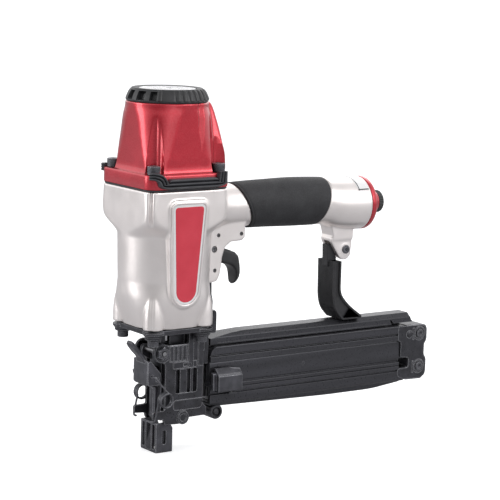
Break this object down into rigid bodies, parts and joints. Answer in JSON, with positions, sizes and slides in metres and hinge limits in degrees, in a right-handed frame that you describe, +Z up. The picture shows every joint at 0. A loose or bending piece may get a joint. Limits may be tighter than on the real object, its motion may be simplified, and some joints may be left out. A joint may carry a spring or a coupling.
{
  "type": "pneumatic flooring stapler",
  "caption": "Pneumatic flooring stapler: red cylinder head, silver body and handle, rubber grip, trigger, quick-release nose door and a rear-sliding staple magazine.",
  "frame": {"origin": "middle of the contact foot's front lip, at the work surface, 9 mm ahead of the drive axis", "axes": "+X rearward to the handle and magazine, +Y to the operator's right, +Z up, parallel to the drive axis"},
  "size_m": [0.2716, 0.076, 0.262],
  "materials": {
    "silver_casting": "satin silver paint over fine cast texture",
    "red_casting": "glossy metallic red enamel",
    "badge_red": "glossy plain red insert with white border",
    "rubber": "matt black rubber",
    "black_plastic": "fine moulded texture",
    "white_label": "plain white label",
    "disc_silver": "bright silver",
    "brass": "turned",
    "bare_steel": "ground",
    "zinc_screw": "black oxide",
    "black_steel": "black oxide and black powder coat"
  },
  "bodies": {
    "tool_body": {"body_housing": "silver_casting", "cylinder_sleeve": "bare_steel", "piston_bumper": "rubber", "cylinder_head": "red_casting", "head_gasket": "rubber", "head_screw_1": "zinc_screw", "head_screw_2": "zinc_screw", "head_screw_3": "zinc_screw", "head_screw_4": "zinc_screw", "side_pad_left": "rubber", "side_pad_right": "rubber", "badge_left": "badge_red", "badge_right": "badge_red", "handle_grip": "rubber", "handle_end_cap": "red_casting", "air_inlet_plug": "black_plastic", "rating_label": "white_label", "deflector_screw": "bare_steel", "trigger_valve_body": "brass", "valve_pin_front": "black_steel", "valve_pin_rear": "black_steel", "link_guide_pin": "black_steel", "trigger_pin": "black_steel", "nose_frame": "black_steel", "nose_screw_1": "black_steel", "nose_screw_2": "black_steel", "nose_screw_3": "black_steel", "nose_screw_4": "black_steel", "door_hinge_bolt": "black_steel", "door_hinge_nut": "black_steel", "magazine_top_rail": "black_steel", "staple_core": "bare_steel", "magazine_stay": "rubber", "stay_bolt": "black_steel"},
    "deflector": {"exhaust_deflector": "black_plastic", "deflector_disc": "disc_silver"},
    "head_valve": {"head_valve": "black_plastic", "head_valve_spring": "bare_steel"},
    "piston": {"piston": "bare_steel", "piston_ring": "rubber", "driver_blade": "bare_steel"},
    "trigger": {"trigger": "black_plastic"},
    "trip_lever": {"trip_lever": "bare_steel"},
    "valve_stem": {"valve_stem": "bare_steel", "valve_spring": "bare_steel"},
    "safety": {"contact_foot": "black_steel", "safety_link": "black_steel", "safety_spring": "black_steel"},
    "nose_door": {"nose_door": "black_steel", "latch_pin": "black_steel"},
    "latch_lever": {"latch_lever": "black_steel"},
    "latch_wire": {"latch_wire": "black_steel"},
    "magazine": {"magazine_cover": "black_steel", "magazine_end_cap": "black_steel", "end_cap_bolt_upper": "black_steel", "end_cap_bolt_lower": "black_steel", "magazine_latch_pin": "bare_steel"},
    "magazine_latch": {"magazine_latch": "black_steel"},
    "pusher": {"staple_pusher": "bare_steel", "pusher_spring": "bare_steel"}
  },
  "joints": [
    {"name": "deflector_turn", "type": "hinge", "parent": "tool_body", "child": "deflector", "pos_m": [0.009, 0, 0.2526], "axis": [0, 0, 1], "continuous": true},
    {"name": "head_valve_lift", "type": "slide", "parent": "tool_body", "child": "head_valve", "axis": [0, 0, 1], "range_m": [0, 0.004], "deforming": ["head_valve_spring"]},
    {"name": "piston_stroke", "type": "slide", "parent": "tool_body", "child": "piston", "axis": [0, 0, -1], "range_m": [0, 0.08]},
    {"name": "trigger_pull", "type": "hinge", "parent": "tool_body", "child": "trigger", "pos_m": [0.0446, 0, 0.1457], "axis": [0, -1, 0], "range_deg": [0, 8]},
    {"name": "valve_push", "type": "slide", "parent": "tool_body", "child": "valve_stem", "axis": [0, 0, 1], "range_m": [0, 0.0021], "deforming": ["valve_spring"]},
    {"name": "safety_slide", "type": "slide", "parent": "tool_body", "child": "safety", "axis": [0, 0, 1], "range_m": [0, 0.0055], "deforming": ["safety_spring"]},
    {"name": "trip_lift", "type": "hinge", "parent": "trigger", "child": "trip_lever", "pos_m": [0.0665, 0, 0.1392], "axis": [0, 1, 0], "range_deg": [0, 4.5]},
    {"name": "door_swing", "type": "hinge", "parent": "tool_body", "child": "nose_door", "pos_m": [0.0005, 0, 0.074], "axis": [0, 1, 0], "range_deg": [0, 60]},
    {"name": "latch_lever_turn", "type": "hinge", "parent": "nose_door", "child": "latch_lever", "pos_m": [-0.0005, 0, 0.054], "axis": [0, -1, 0], "range_deg": [0, 60]},
    {"name": "latch_wire_turn", "type": "hinge", "parent": "latch_lever", "child": "latch_wire", "pos_m": [-0.0052, 0, 0.057], "axis": [0, 1, 0], "range_deg": [0, 20]},
    {"name": "magazine_slide", "type": "slide", "parent": "tool_body", "child": "magazine", "axis": [1, 0, 0], "range_m": [0, 0.12]},
    {"name": "magazine_latch_press", "type": "hinge", "parent": "magazine", "child": "magazine_latch", "pos_m": [0.059, -0.0165, 0.0475], "axis": [0, 0, 1], "range_deg": [0, 10]},
    {"name": "pusher_slide", "type": "slide", "parent": "magazine", "child": "pusher", "axis": [1, 0, 0], "range_m": [0, 0.11]}
  ],
  "couplings": [
    {"joint": "valve_push", "follows": "trigger_pull", "m_per_rad": 0.0144},
    {"joint": "trip_lift", "follows": "safety_slide", "rad_per_m": 12.7},
    {"joint": "latch_lever_turn", "follows": "door_swing", "ratio": 1},
    {"joint": "latch_wire_turn", "follows": "door_swing", "ratio": 0.3}
  ]
}
